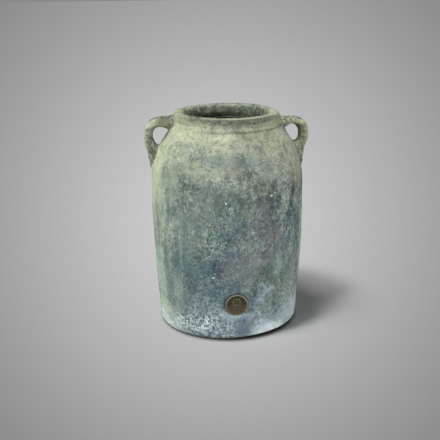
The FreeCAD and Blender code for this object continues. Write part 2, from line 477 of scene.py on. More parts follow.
# %% [markdown]
# ## The pulled handles
# A pulled handle is a strap of clay drawn out by hand, bent over and pressed on at both ends. The
# packed handle already has the right bend and taper, but its faces are long and thin where they were
# trimmed. A voxel remesh gives it an even skin that can be dented, and a little smoothing takes the
# voxels' stairs away. The bends are lifted by 2 or 3 mm, because on the real jar both handles arch a
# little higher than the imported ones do.

# %% Handles
voxel = 0.0014
smoothing_rounds = 3
left_handle_lift = 0.0030
right_handle_lift = 0.0022
lift_from, lift_until = 0.365, 0.410


def pulled_handle(name, stands_for, lift):
    """A handle with an even skin, dents, smeared ends, a pressed seat and a lifted bend."""
    rough = bpy.data.objects.new(name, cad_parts[stands_for].data.copy())
    bpy.context.scene.collection.objects.link(rough)
    remesh = rough.modifiers.new("even skin", "REMESH")
    remesh.mode = "VOXEL"
    remesh.voxel_size = voxel
    remeshed = rough.evaluated_get(bpy.context.evaluated_depsgraph_get())
    mesh = bpy.data.meshes.new_from_object(remeshed)
    bpy.data.objects.remove(rough)
    work = bmesh.new()
    work.from_mesh(mesh)
    for _ in range(smoothing_rounds):
        bmesh.ops.smooth_vert(work, verts=work.verts, factor=0.5, use_axis_x=True, use_axis_y=True,
                              use_axis_z=True)
    work.normal_update()
    places = []
    for vertex in work.verts:
        place, normal = vertex.co.copy(), vertex.normal
        stand_off = unevenness(place) + mean_set_back + smear(place, handle_neighbours)
        lifted = Vector((0, 0, lift * smooth_step(place.z, lift_from, lift_until)))
        places.append(place + normal * stand_off + pressed(place) + lifted)
    for vertex, place in zip(work.verts, inside_box(np.array(places))):
        vertex.co = place
    work.to_mesh(mesh)
    work.free()
    mesh.materials.clear()
    mesh.name = name
    finish_mesh(bpy.data.objects.new(name, mesh), np.zeros(len(places)), stands_for)


bpy.context.view_layer.update()
pulled_handle("clay_handle_right", "right_handle", right_handle_lift)
pulled_handle("clay_handle_left", "left_handle", left_handle_lift)

# %% [markdown]
# ## Colours and nodes
# A finish is a tree of shader nodes. Written out node by node it would be very long, so small helpers
# keep it short. The first ones turn a colour as it looks on screen into light, plug in the inputs of a
# node, and add a node with its inputs.

# %% Helpers for colours and nodes
def seen(red, green, blue):
    """A colour as it looks on screen, 0 to 255, as light."""
    light = []
    for value in (red, green, blue):
        value /= 255
        light.append(value / 12.92 if value < 0.04045 else ((value + 0.055) / 1.055) ** 2.4)
    return (*light, 1)


def plug(tree, node, inputs):
    """Sets a node's inputs, given as {name or number: value or a socket to join}."""
    for key, value in inputs.items():
        if isinstance(value, bpy.types.NodeSocket):
            tree.links.new(value, node.inputs[key])
        else:
            node.inputs[key].default_value = value


def add(tree, kind, inputs=(), **settings):
    """Adds a node with its inputs and its settings."""
    made = tree.nodes.new("ShaderNode" + kind)
    for name, value in settings.items():
        setattr(made, name, value)
    plug(tree, made, dict(inputs))
    return made


print("a middle grey on screen is %.2f of full light" % seen(128, 128, 128)[0])

# %% [markdown]
# ## Sums, rises, noise and coats
# These are the nodes that come back most. A mask is a number from 0 to 1 over the surface: sums and
# products combine masks, a soft rise makes one from any number, and a coat lays one colour over
# another where its mask is white, as a brush does.

# %% Helpers for masks and coats
def sums(tree, operation, *values):
    """The result of a sum on numbers or sockets."""
    return add(tree, "Math", dict(enumerate(values)), operation=operation).outputs[0]


def times(tree, first, *others):
    """The product of masks and shares."""
    for other in others:
        first = sums(tree, "MULTIPLY", first, other)
    return first


def opposite(tree, mask):
    """1 where a mask is 0 and 0 where it is 1."""
    return sums(tree, "SUBTRACT", 1, mask)


def vector_sums(tree, operation, *values, output="Vector"):
    """The result of a sum on vectors."""
    return add(tree, "VectorMath", dict(enumerate(values)), operation=operation).outputs[output]


def scaled(tree, vector, factor):
    """A vector or a colour times a number."""
    return add(tree, "VectorMath", {0: vector, "Scale": factor}, operation="SCALE").outputs[0]


def ramp(tree, value, low, high, to_low=0, to_high=1):
    """A soft rise from to_low to to_high while a value goes from low to high."""
    inputs = {"Value": value, "From Min": low, "From Max": high, "To Min": to_low, "To Max": to_high}
    return add(tree, "MapRange", inputs, interpolation_type="SMOOTHSTEP").outputs["Result"]


def coat(tree, mask, under, over, mode="MIX"):
    """One colour laid over another where a mask is white."""
    return add(tree, "Mix", {0: mask, 6: under, 7: over}, data_type="RGBA", blend_type=mode).outputs[2]


def noise_at(tree, place, scale, detail, roughness=0.5):
    """The outputs of a noise texture: first a grey, then a colour whose parts differ."""
    inputs = {"Vector": place, "Scale": scale, "Detail": detail, "Roughness": roughness}
    return add(tree, "TexNoise", inputs).outputs


print("helpers:", ", ".join(tool.__name__ for tool in (sums, times, scaled, ramp, coat, noise_at)))

# %% [markdown]
# ## Tools for node groups
# Each effect that several finishes share becomes a node group, the way a potter keeps one bucket of
# wash for many pots. One helper starts a group with named inputs and outputs. The other two place it
# in a finish, with that finish's own values.

# %% Helpers for node groups
def new_group(name, inputs, outputs):
    """An empty node group with its named sockets: (tree, its inputs, its outputs)."""
    tree = bpy.data.node_groups.new(name, "ShaderNodeTree")
    for title, value in inputs.items():
        kind = "Float" if isinstance(value, (int, float)) else "Vector" if len(value) == 3 else "Color"
        socket = tree.interface.new_socket(name=title, in_out="INPUT", socket_type="NodeSocket" + kind)
        socket.default_value = value
    for title, kind in outputs.items():
        tree.interface.new_socket(name=title, in_out="OUTPUT", socket_type="NodeSocket" + kind)
    return tree, tree.nodes.new("NodeGroupInput").outputs, tree.nodes.new("NodeGroupOutput").inputs


def use(tree, group, **inputs):
    """Places a node group. Input names are given with _ for a space."""
    made = tree.nodes.new("ShaderNodeGroup")
    made.node_tree = group
    plug(tree, made, {name.replace("_", " "): value for name, value in inputs.items()})
    return made.outputs


def mask_from(tree, group, place, **inputs):
    """The mask that a node group gives at a place."""
    return use(tree, group, Place=place, **inputs)["Mask"]


print("node groups so far:", len(bpy.data.node_groups))

# %% [markdown]
# ## Ragged patch
# Lime, soot and damp leave patches with torn edges. A round blot that is placed on the jar and
# whose edge is pushed about by noise, and which is broken by holes, makes any of them. Where the
# patch is, how far it reaches and how torn and broken it is are inputs, so one group serves all.

# %% Node group: Ragged patch
hole_grain = 64
hole_from, hole_until = 0.44, 0.56

ragged_patch, given, gives = new_group(
    "Ragged patch",
    {"Place": (0, 0, 0), "Centre": (0, 0, 0), "Reach": (0.05, 0.05, 0.05), "Tear": 0.03,
     "Grain": 40, "Softness": 0.5, "Broken": 0.6},
    {"Mask": "Float"})
tree, place = ragged_patch, given["Place"]
tear_noise = noise_at(tree, place, given["Grain"], 6, 0.62)["Color"]
centred = vector_sums(tree, "SUBTRACT", tear_noise, (0.5, 0.5, 0.5))
moved = vector_sums(tree, "ADD", place, scaled(tree, centred, given["Tear"]))
from_centre = vector_sums(tree, "SUBTRACT", moved, given["Centre"])
length = vector_sums(tree, "LENGTH", vector_sums(tree, "DIVIDE", from_centre, given["Reach"]), output="Value")
edge_in = opposite(tree, given["Softness"])
edge_out = sums(tree, "ADD", 1, given["Softness"])
blot = ramp(tree, length, edge_in, edge_out, 1, 0)
hole_noise = noise_at(tree, place, hole_grain, 6, 0.7)[0]
holes = ramp(tree, hole_noise, hole_from, hole_until, 1, 0)
whole = opposite(tree, times(tree, holes, given["Broken"]))
tree.links.new(times(tree, blot, whole), gives["Mask"])
print("group:", ragged_patch.name)

# %% [markdown]
# ## Height wash and side wash
# Rain and splashes change a standing jar by height, and sun and shade by side. One group rises from
# 0 to 1 past a height, the other round towards a side. Both edges wander, as a tide mark does.

# %% Node groups: Height wash and Side wash
def wandering(tree, given):
    """How far an edge wanders at a place: noise about zero, times the group's Wander."""
    grey = noise_at(tree, given["Place"], given["Grain"], 5, 0.6)[0]
    return times(tree, sums(tree, "SUBTRACT", grey, 0.5), given["Wander"])


height_wash, given, gives = new_group(
    "Height wash",
    {"Place": (0, 0, 0), "Level": 0.2, "Spread": 0.1, "Wander": 0.05, "Grain": 12},
    {"Mask": "Float"})
tree = height_wash
height = add(tree, "SeparateXYZ", {0: given["Place"]}).outputs["Z"]
wandered = sums(tree, "ADD", height, wandering(tree, given))
above = sums(tree, "DIVIDE", sums(tree, "SUBTRACT", wandered, given["Level"]), given["Spread"])
tree.links.new(ramp(tree, above, -0.5, 0.5), gives["Mask"])

side_wash, given, gives = new_group(
    "Side wash",
    {"Place": (0, 0, 0), "Side": (-1, 0, 0), "From": 0.0, "To": 1.0, "Wander": 0.3, "Grain": 12},
    {"Mask": "Float"})
tree = side_wash
level_place = vector_sums(tree, "NORMALIZE", vector_sums(tree, "MULTIPLY", given["Place"], (1, 1, 0)))
towards = vector_sums(tree, "DOT_PRODUCT", level_place, given["Side"], output="Value")
wandered = sums(tree, "ADD", towards, wandering(tree, given))
tree.links.new(ramp(tree, wandered, given["From"], given["To"]), gives["Mask"])
print("groups:", height_wash.name, "and", side_wash.name)

# %% [markdown]
# ## Mottle and specks
# Up close the wash is cloudy at every scale, from a palm's width down to a grain of sand. Mottle is
# noise with a contrast input. It can be stretched upright, which turns clouds into the streaks that
# water leaves. Specks are small separate dots: lime grains, or the dark mouths of pits.

# %% Node groups: Mottle and Specks
mottle, given, gives = new_group(
    "Mottle",
    {"Place": (0, 0, 0), "Scale": 30, "Stretch": (1, 1, 1), "Detail": 4, "Roughness": 0.6,
     "Contrast": 2, "Level": 0.5},
    {"Mask": "Float"})
tree = mottle
stretched = vector_sums(tree, "DIVIDE", given["Place"], given["Stretch"])
cloud = noise_at(tree, stretched, given["Scale"], given["Detail"], given["Roughness"])[0]
half_width = sums(tree, "DIVIDE", 0.5, given["Contrast"])
cloud_from = sums(tree, "SUBTRACT", given["Level"], half_width)
cloud_until = sums(tree, "ADD", given["Level"], half_width)
tree.links.new(ramp(tree, cloud, cloud_from, cloud_until), gives["Mask"])

dot_push = 0.004
specks, given, gives = new_group(
    "Specks",
    {"Place": (0, 0, 0), "Scale": 200, "Size": 0.3, "Share": 0.2},
    {"Mask": "Float"})
tree, place = specks, given["Place"]
push_noise = noise_at(tree, place, given["Scale"], 2)["Color"]
pushed = vector_sums(tree, "ADD", place, scaled(tree, push_noise, dot_push))
dots = add(tree, "TexVoronoi", {"Vector": pushed, "Scale": given["Scale"]}).outputs
lot = add(tree, "SeparateXYZ", {0: dots["Color"]}).outputs["X"]
chosen = sums(tree, "LESS_THAN", lot, given["Share"])
dot = ramp(tree, dots["Distance"], times(tree, given["Size"], 0.5), given["Size"], 1, 0)
tree.links.new(times(tree, dot, chosen), gives["Mask"])
print("groups:", mottle.name, "and", specks.name)

# %% [markdown]
# ## Crust
# The surface is rough to the fingertip: curly ridges of lime, sandy grain and small pits where grit
# fell out. Noise makes curly ridges when it is folded at its middle value, because the fold runs
# like a coastline. The group gives one height for a Bump node, and the pits, ridges and hollows as
# masks, since lime sits on the ridges and dirt in the rest.

# %% Node group: Crust
coast_level = 0.52
lump_grain = 55
ridge_height, grain_height = 0.30, 0.35
hollow_from, hollow_until = 0.36, 0.46

crust, given, gives = new_group(
    "Crust",
    {"Place": (0, 0, 0), "Ridge Scale": 150, "Grain Scale": 420, "Pit Scale": 260, "Pit Depth": 0.6,
     "Ridge Width": 0.07},
    {"Height": "Float", "Pits": "Float", "Ridges": "Float", "Hollows": "Float"})
tree, place = crust, given["Place"]
coast = noise_at(tree, place, given["Ridge Scale"], 3, 0.6)[0]
off_coast = sums(tree, "ABSOLUTE", sums(tree, "SUBTRACT", coast, coast_level))
ridges = ramp(tree, off_coast, 0, given["Ridge Width"], 1, 0)
lumps = noise_at(tree, place, lump_grain, 5, 0.65)[0]
grain = noise_at(tree, place, given["Grain Scale"], 3, 0.6)[0]
pits = mask_from(tree, specks, place, Scale=given["Pit Scale"], Size=0.34, Share=0.3)
ridged = sums(tree, "ADD", lumps, times(tree, ridges, ridge_height))
grained = sums(tree, "ADD", ridged, times(tree, grain, grain_height))
tree.links.new(sums(tree, "SUBTRACT", grained, times(tree, pits, given["Pit Depth"])), gives["Height"])
tree.links.new(pits, gives["Pits"])
tree.links.new(ridges, gives["Ridges"])
tree.links.new(ramp(tree, coast, hollow_from, hollow_until, 1, 0), gives["Hollows"])
print("group:", crust.name)

# %% [markdown]
# ## Weathered wash
# Under every patch lies the same faded wash: slate low down, grey-green above it, olive grey on the
# shoulder, and yellow-green on the side that faced the light. Sage, slate blue and taupe drift over
# it. The wall, the collar and the handles all wear it, each with its own tints, so it is a group with
# its colours as inputs.

# %% Node group: Weathered wash
dusted = seen(126, 134, 124)
sooted = seen(158, 174, 180)
grimed = seen(132, 145, 149)
sage = seen(116, 146, 120)
taupe = seen(138, 126, 118)
slate_blue = seen(82, 110, 130)

weathered_wash, given, gives = new_group(
    "Weathered wash",
    {"Place": (0, 0, 0), "Low Colour": seen(122, 142, 146), "Middle Colour": seen(167, 178, 162),
     "Top Colour": seen(160, 168, 146), "Side Colour": seen(191, 202, 166), "Side Share": 0.9,
     "Hue Share": 1.0, "Cloud Share": 0.75, "Flake Share": 1.0, "Blot Share": 1.0, "Grit Share": 0.95},
    {"Colour": "Color"})
tree, place = weathered_wash, given["Place"]
mid_up = mask_from(tree, height_wash, place, Level=0.275, Spread=0.15, Wander=0.12, Grain=14)
top_up = mask_from(tree, height_wash, place, Level=0.362, Spread=0.06, Wander=0.10, Grain=26)
sunny = mask_from(tree, side_wash, place, Side=(-0.99, 0.1, 0), From=0.35, To=1.0, Wander=0.5, Grain=16)
colour = coat(tree, mid_up, given["Low Colour"], given["Middle Colour"])
colour = coat(tree, top_up, colour, given["Top Colour"])
colour = coat(tree, times(tree, sunny, given["Side Share"]), colour, given["Side Colour"])
for tint, share, scale, level in (
        (sage, 0.62, 17, 0.52), (slate_blue, 0.6, 21, 0.54), (taupe, 0.5, 26, 0.56)):
    tinted = mask_from(tree, mottle, place, Scale=scale, Detail=7, Roughness=0.68, Contrast=4.5, Level=level)
    colour = coat(tree, times(tree, tinted, given["Hue Share"], share), colour, tint)
print("coats in the wash so far:", len([node for node in tree.nodes if node.type == "MIX"]))

# %% [markdown]
# ## Clouds, blots, flakes and grit
# Four sizes of mottle break the wash up: soft clouds as wide as a palm, darker blots, bright flakes
# in clusters, and grit like coarse sand. The light ones are added and the dark ones multiplied, so
# they work on every tint below them.

# %% Weathered wash, continued
cloud = mask_from(tree, mottle, place, Scale=22, Stretch=(1, 1, 1.5), Roughness=0.55, Contrast=2.5)
blot = mask_from(tree, mottle, place, Scale=36, Stretch=(1, 1, 1.5), Detail=8, Roughness=0.74,
                 Contrast=5.0, Level=0.55)
flake = mask_from(tree, mottle, place, Scale=75, Detail=8, Roughness=0.76, Contrast=6.0, Level=0.56)
cluster = mask_from(tree, mottle, place, Scale=19, Detail=4, Contrast=4.0)
grit = mask_from(tree, mottle, place, Scale=230, Stretch=(1, 1, 1.4), Detail=4, Roughness=0.7, Contrast=4.2)
for mask, share, paint, mode in (
        (cloud, "Cloud Share", dusted, "ADD"),
        (opposite(tree, cloud), "Cloud Share", sooted, "MULTIPLY"),
        (blot, "Blot Share", grimed, "MULTIPLY"),
        (times(tree, flake, cluster), "Flake Share", dusted, "ADD"),
        (opposite(tree, grit), "Grit Share", grimed, "MULTIPLY")):
    colour = coat(tree, times(tree, mask, given[share]), colour, paint, mode)
tree.links.new(colour, gives["Colour"])
print("group:", weathered_wash.name)

# %% [markdown]
# ## The start and the end of every finish
# Each material begins with the place on the object, and each clay one with the wash as well. Places
# are the frame's own coordinates, so the wash runs on from piece to piece without a seam. At its end
# a material gives its colour, its roughness and often a bump to the shader.

# %% Start and end a material
def start_finish(name):
    """A new material: (material, its tree, the place on the object)."""
    material = bpy.data.materials.new(name)
    material.use_nodes = True
    tree = material.node_tree
    return material, tree, add(tree, "TexCoord").outputs["Object"]


def start_clay(name, **tints):
    """A new clay material: (material, its tree, the place, the washed colour)."""
    material, tree, place = start_finish(name)
    return material, tree, place, use(tree, weathered_wash, Place=place, **tints)["Colour"]


def bump(tree, height, strength, depth):
    """The way a bumpy surface faces, from its height at each place."""
    return add(tree, "Bump", {"Strength": strength, "Distance": depth, "Height": height}).outputs[0]


def join_shader(tree, colour, roughness, more=()):
    """Gives the material's shader its colour, its roughness and more inputs from a dictionary."""
    inputs = {"Base Color": colour, "Roughness": roughness, **dict(more)}
    plug(tree, tree.nodes["Principled BSDF"], inputs)


print("tints to choose:", ", ".join(socket.name for socket in weathered_wash.interface.items_tree
                                    if socket.name.endswith("Colour") and socket.in_out == "INPUT"))

# %% [markdown]
# ## The end of every clay finish
# Each clay material ends with the same steps: the darker inside, dirty hollows, lime on the ridges,
# dark pits, bright lime grains and a rough surface. What comes before them makes wall, collar and
# handles differ.

# %% End a clay material
lime_grain = seen(206, 214, 200)
# the dark of pits and hollows, also used for the painted shade round the plate
pit_and_shade_dark = seen(56, 68, 68)
inside_dark = seen(146, 156, 144)
inside_paint_share = 0.85
ridge_share, hollow_share = 0.28, 0.30
pit_share, grain_share = 0.6, 0.8
grains_among_dots = 0.05
crust_bump, crust_depth = 0.85, 0.002
clay_gloss = 0.25
low_relief, high_relief = 0.2, 1.0
low_roughness, high_roughness = 0.98, 0.8


def end_clay(tree, place, colour, inside):
    """Adds the inside, hollows, ridges, pits and grains, and joins the shader."""
    inner = add(tree, "Attribute", attribute_name="inner_face").outputs["Fac"]
    relief = use(tree, crust, Place=place)
    rough_zone = mask_from(tree, mottle, place, Scale=26, Detail=5, Roughness=0.65, Contrast=4.5, Level=0.53)
    white = mask_from(tree, specks, place, Scale=230, Size=0.34, Share=grains_among_dots)
    for mask, paint in (
            (times(tree, inner, inside_paint_share), inside),
            (times(tree, relief["Hollows"], rough_zone, hollow_share), pit_and_shade_dark),
            (times(tree, relief["Ridges"], rough_zone, ridge_share), lime_grain),
            (times(tree, relief["Pits"], pit_share), pit_and_shade_dark),
            (times(tree, white, grain_share), lime_grain)):
        colour = coat(tree, mask, colour, paint)
    rough = ramp(tree, relief["Height"], low_relief, high_relief, low_roughness, high_roughness)
    bumpy = bump(tree, relief["Height"], crust_bump, crust_depth)
    join_shader(tree, colour, rough, {"Specular IOR Level": clay_gloss, "Normal": bumpy})


print("paints for ridges and pits:", [round(value, 2) for value in lime_grain[:3] + pit_and_shade_dark[:3]])

# %% [markdown]
# ## Patches by bearing and height
# A painter would say where a patch lies by walking round the jar, so many degrees to the right of
# the photographed front and so high. The helper below turns that into a place on the wall. Patches
# are laid like coats of paint: a later one covers an earlier one, so their order counts.

# %% Lay patches
def on_jar(bearing, height):
    """A place on the wall, by degrees to the right of the photographed front and by height."""
    radius = np.interp(height, wall_outline[:, 1], wall_outline[:, 0])
    turn = math.radians(bearing) - camera_turn
    return (radius * math.sin(turn), -radius * math.cos(turn), height)


def patches(tree, place, colour, rows):
    """Lays ragged patches over the colour, one after the other. A row holds the paint and its share,
    the bearing and height of the middle, the reach along and up, and the edge's tear, grain and
    brokenness."""
    for paint, share, bearing, height, wide, tall, tear, grain, broken in rows:
        mask = mask_from(tree, ragged_patch, place, Centre=on_jar(bearing, height), Reach=(wide, wide, tall),
                         Tear=tear, Grain=grain, Broken=broken)
        colour = coat(tree, times(tree, mask, share), colour, paint)
    return colour


print("a place at the front:", [round(value, 3) for value in on_jar(0, 0.2)])

# %% [markdown]
# ## The wall's broad patches
# The front of the wall tells where the jar stood: a cream shoulder, a damp slate middle with a dark
# run down its centre, a mauve bloom to the right of it, and green down the left side, partly its own
# colour and partly a painted highlight along the lit edge. Wide patches with much-torn edges run into
# each other, as stains in a wash do.

# %% Material: wall and foot
cream = seen(194, 199, 168)
olive = seen(170, 172, 150)
sunlit = seen(200, 208, 168)
sandy = seen(166, 166, 148)
teal = seen(78, 98, 106)
mauve = seen(130, 122, 130)
deep_slate = seen(78, 102, 112)
# lime-green, also used for painted highlights along the jar's edges
lime_green_and_highlight = seen(190, 208, 188)

wall_clay, tree, place, colour = start_clay("weathered_clay_wall")
colour = patches(tree, place, colour, (
    (cream, 0.55, -42, 0.392, 0.085, 0.034, 0.03, 45, 0.6),
    (cream, 0.85, -48, 0.408, 0.060, 0.014, 0.02, 45, 0.3),
    (cream, 0.60, -4, 0.392, 0.035, 0.026, 0.03, 55, 0.6),
    (olive, 0.70, 45, 0.385, 0.085, 0.045, 0.03, 45, 0.6),
    (teal, 0.50, 2, 0.215, 0.022, 0.070, 0.04, 50, 0.6),
    (mauve, 0.50, 28, 0.215, 0.055, 0.060, 0.06, 40, 0.6),
    (mauve, 0.45, 12, 0.155, 0.045, 0.035, 0.06, 40, 0.6),
    (deep_slate, 0.60, -26, 0.120, 0.055, 0.060, 0.06, 40, 0.6),
    (lime_green_and_highlight, 0.50, -62, 0.225, 0.060, 0.130, 0.05, 30, 0.6),
    # partly painted highlight: the sunlit patch on the next line lightens the lit left edge
    (sunlit, 0.75, -74, 0.318, 0.040, 0.075, 0.03, 35, 0.3),
    (sandy, 0.75, 66, 0.338, 0.034, 0.036, 0.03, 35, 0.6),
    (sandy, 0.40, 30, 0.322, 0.050, 0.030, 0.05, 35, 0.6)))
print("material:", wall_clay.name, "with", len(tree.nodes), "nodes so far")

# %% [markdown]
# ## The wall's small patches
# Between the broad ones lie many patches no wider than three fingers: bleached spots and pale olive
# ones on the shoulder, dark rubs in the middle, runs of damp above the plate, and a few chips where
# bright lime shows. The patches share one kind of edge, and the chips have a sharp one.

# %% Small patches and chips
green_grey = seen(152, 166, 152)
pale_olive = seen(174, 180, 154)
dark_olive = seen(80, 90, 84)
pale_blue = seen(194, 211, 222)
lime_white = seen(228, 241, 240)
damp_blue = seen(96, 116, 132)
small_edge = (0.03, 55, 0.35)
chip_edge = (0.001, 40, 0.0)
chip_share = 0.9

small_patches = (
    (green_grey, 0.50, -30, 0.215, 0.032, 0.055), (green_grey, 0.45, -16, 0.285, 0.022, 0.042),
    (pale_olive, 0.50, -15, 0.345, 0.032, 0.018), (pale_olive, 0.40, -45, 0.330, 0.026, 0.020),
    (teal, 0.35, 10, 0.362, 0.055, 0.012), (pale_olive, 0.50, 38, 0.397, 0.045, 0.012),
    (green_grey, 0.40, 48, 0.130, 0.045, 0.045), (dark_olive, 0.75, -5, 0.290, 0.013, 0.026),
    (lime_green_and_highlight, 0.40, 41, 0.150, 0.007, 0.026), (green_grey, 0.50, 60, 0.275, 0.010, 0.018),
    (teal, 0.50, 8, 0.112, 0.030, 0.032), (teal, 0.40, -28, 0.082, 0.032, 0.026),
    (teal, 0.40, 14, 0.178, 0.022, 0.026), (deep_slate, 0.40, 8, 0.240, 0.030, 0.018),
    (deep_slate, 0.35, 46, 0.165, 0.026, 0.030), (teal, 0.35, -22, 0.372, 0.035, 0.012),
    (teal, 0.40, 3, 0.132, 0.020, 0.036), (damp_blue, 0.40, 10, 0.072, 0.040, 0.026),
    (cream, 0.50, -62, 0.400, 0.020, 0.020), (cream, 0.50, 0, 0.406, 0.024, 0.008),
    (pale_olive, 0.60, 62, 0.400, 0.030, 0.018), (pale_olive, 0.75, 68, 0.345, 0.022, 0.050),
    (cream, 0.50, -58, 0.364, 0.016, 0.016), (sandy, 0.50, 2, 0.354, 0.024, 0.020),
    (sunlit, 0.35, -60, 0.240, 0.026, 0.080), (lime_green_and_highlight, 0.35, -45, 0.100, 0.026, 0.036),
    # painted highlight: the thin lime-green strip at bearing 75 on the next line is light along the right
    # edge
    (lime_green_and_highlight, 0.45, 75, 0.170, 0.014, 0.090), (cream, 0.40, -46, 0.404, 0.030, 0.010),
    (green_grey, 0.40, -40, 0.305, 0.026, 0.024), (green_grey, 0.40, 14, 0.272, 0.018, 0.016),
    (green_grey, 0.20, 2, 0.302, 0.026, 0.022), (green_grey, 0.20, 15, 0.150, 0.026, 0.020),
    (pale_blue, 0.30, 0, 0.054, 0.014, 0.020), (deep_slate, 0.30, 0, 0.364, 0.030, 0.010),
    (pale_olive, 0.60, 45, 0.379, 0.022, 0.012), (pale_olive, 0.50, -30, 0.350, 0.020, 0.014),
    # partly painted highlight: the lime-green patch at -74 on the next line lightens the lit left edge
    (lime_green_and_highlight, 0.70, -74, 0.292, 0.018, 0.032), (cream, 0.45, -72, 0.392, 0.018, 0.016),
    (pale_olive, 0.55, 76, 0.388, 0.022, 0.030), (teal, 0.30, 30, 0.352, 0.018, 0.014),
    # partly painted highlight: the lime-green patch at -74 at the end of the next line lightens the lit left
    # edge
    (pale_blue, 0.35, 75, 0.040, 0.020, 0.040), (lime_green_and_highlight, 0.35, -74, 0.272, 0.014, 0.020))
chips = ((-1, 0.288, 0.0018), (33, 0.296, 0.0022), (36, 0.300, 0.0015), (-11, 0.138, 0.0018))
colour = patches(tree, place, colour, [(*row, *small_edge) for row in small_patches])
colour = patches(tree, place, colour, [
    (lime_white, chip_share, bearing, height, size, size, *chip_edge) for bearing, height, size in chips])
print(len(small_patches), "small patches and", len(chips), "chips")

# %% [markdown]
# ## Grain, groove and streaks
# The bleached shoulder is peppered with dark grain. Painted shade darkens the groove under the
# collar, more at the right. Water ran down low at the left and high at the right and left upright
# streaks, which are mottle stretched to seven times its height and kept to two patches.

# %% Shoulder grain, groove and streaks
# painted shade: the brown-grey of the shade in the groove under the collar
painted_groove_shade = seen(92, 92, 74)
shoulder_grain_share, groove_shade_share = 0.26, 0.7
groove_below_seat = 0.0012
grain_on_shoulder = mask_from(
    tree, mottle, place, Scale=130, Detail=5, Roughness=0.72, Contrast=7.0, Level=0.52)
shoulder = mask_from(tree, height_wash, place, Level=0.384, Spread=0.020, Wander=0.03, Grain=30)
colour = coat(tree, times(tree, grain_on_shoulder, shoulder, shoulder_grain_share), colour, dark_olive)
groove_level = seat_height - groove_below_seat
groove = mask_from(tree, height_wash, place, Level=groove_level, Spread=0.003, Wander=0.003, Grain=50)
towards_right = {"Side": (0.6, -0.8, 0), "From": 0.3, "To": 0.8, "Wander": 0.5, "Grain": 30}
right_half = mask_from(tree, side_wash, place, **towards_right)
# painted shade in the groove under the collar, laid more at the right
colour = coat(tree, times(tree, groove, right_half, groove_shade_share), colour, painted_groove_shade)
streaks = mask_from(tree, mottle, place, Scale=70, Stretch=(1, 1, 7), Detail=5, Contrast=5.0, Level=0.5)
for bearing, height, reach, share, paint in (
        (-50, 0.17, (0.07, 0.07, 0.12), 0.75, deep_slate), (72, 0.335, (0.04, 0.04, 0.05), 0.45, dark_olive)):
    wet = mask_from(tree, ragged_patch, place, Centre=on_jar(bearing, height), Reach=reach, Broken=0.2)
    colour = coat(tree, times(tree, streaks, wet, share), colour, paint)
print("the groove's painted shade lies at %.1f mm" % (1000 * groove_level))

# %% [markdown]
# ## Lime at the foot
# Damp rose from the ground into the foot and left its lime there. It lies thick at the bottom and
# thins out upwards: a wash with a high wander gives the tide mark, a hard fine mottle the flakes in
# it. Over that come blue-white patches at the right, greener ones at the left and two dark ones where
# the clay stayed wet.

# %% Lime wash and its patches
lime_veil_share, lime_flake_share = 0.12, 0.4
tide = mask_from(tree, height_wash, place, Level=0.050, Spread=0.070, Wander=0.08, Grain=22)
below_tide = opposite(tree, tide)
flaky = mask_from(tree, mottle, place, Scale=90, Detail=7, Roughness=0.74, Contrast=6.0, Level=0.53)
colour = coat(tree, times(tree, below_tide, lime_veil_share), colour, pale_blue)
colour = coat(tree, times(tree, below_tide, flaky, lime_flake_share), colour, lime_white)
colour = patches(tree, place, colour, (
    (pale_blue, 0.50, 30, 0.097, 0.020, 0.022, 0.03, 60, 0.6),
    (pale_blue, 0.40, -1, 0.060, 0.014, 0.014, 0.02, 60, 0.6),
    (lime_green_and_highlight, 0.85, -60, 0.028, 0.050, 0.030, 0.03, 40, 0.4),
    (lime_green_and_highlight, 0.60, -68, 0.105, 0.032, 0.070, 0.03, 40, 0.4),
    (pale_blue, 0.85, 31, 0.018, 0.028, 0.020, 0.03, 70, 0.3),
    (pale_blue, 0.40, 60, 0.026, 0.040, 0.030, 0.03, 60, 0.4),
    (pale_blue, 0.70, 9, 0.050, 0.022, 0.012, 0.02, 70, 0.6),
    (deep_slate, 0.70, -18, 0.030, 0.075, 0.030, 0.05, 40, 0.2),
    (damp_blue, 0.85, 13, 0.030, 0.026, 0.026, 0.03, 60, 0.3)))
print("wall finish:", len(tree.nodes), "nodes so far")

# %% [markdown]
# ## The broken crust
# Left of the plate the lime is a broken crust of white curls and flecks with dark pits between them.
# The curls are the ridges of the Crust group, drawn finer. Flecks and pits are hard mottles of about
# one grain, and ragged patches say where the crust is thick and where it is thin.

# %% Curls, flecks and pits
curls = use(tree, crust, Place=place, Ridge_Scale=120, Ridge_Width=0.045)["Ridges"]
flecks = mask_from(tree, mottle, place, Scale=165, Detail=4, Roughness=0.66, Contrast=10.0, Level=0.54)
crisp = sums(tree, "MAXIMUM", curls, flecks)
dug = mask_from(tree, mottle, place, Scale=150, Detail=5, Roughness=0.72, Contrast=9.0, Level=0.54)
for bearing, height, wide, tall, share in (
        (-22, 0.026, 0.075, 0.024, 1.0), (-6, 0.018, 0.040, 0.018, 0.8), (-40, 0.020, 0.030, 0.018, 0.7),
        (-16, 0.064, 0.050, 0.030, 0.35), (34, 0.018, 0.034, 0.016, 0.6), (26, 0.050, 0.040, 0.030, 0.35),
        (58, 0.060, 0.030, 0.045, 0.35)):
    crusted = mask_from(tree, ragged_patch, place, Centre=on_jar(bearing, height), Reach=(wide, wide, tall),
                        Tear=0.06, Grain=45, Broken=0.5)
    colour = coat(tree, times(tree, crusted, dug, share), colour, pit_and_shade_dark)
    colour = coat(tree, times(tree, crusted, crisp, share), colour, lime_white)
print("wall finish:", len(tree.nodes), "nodes so far")
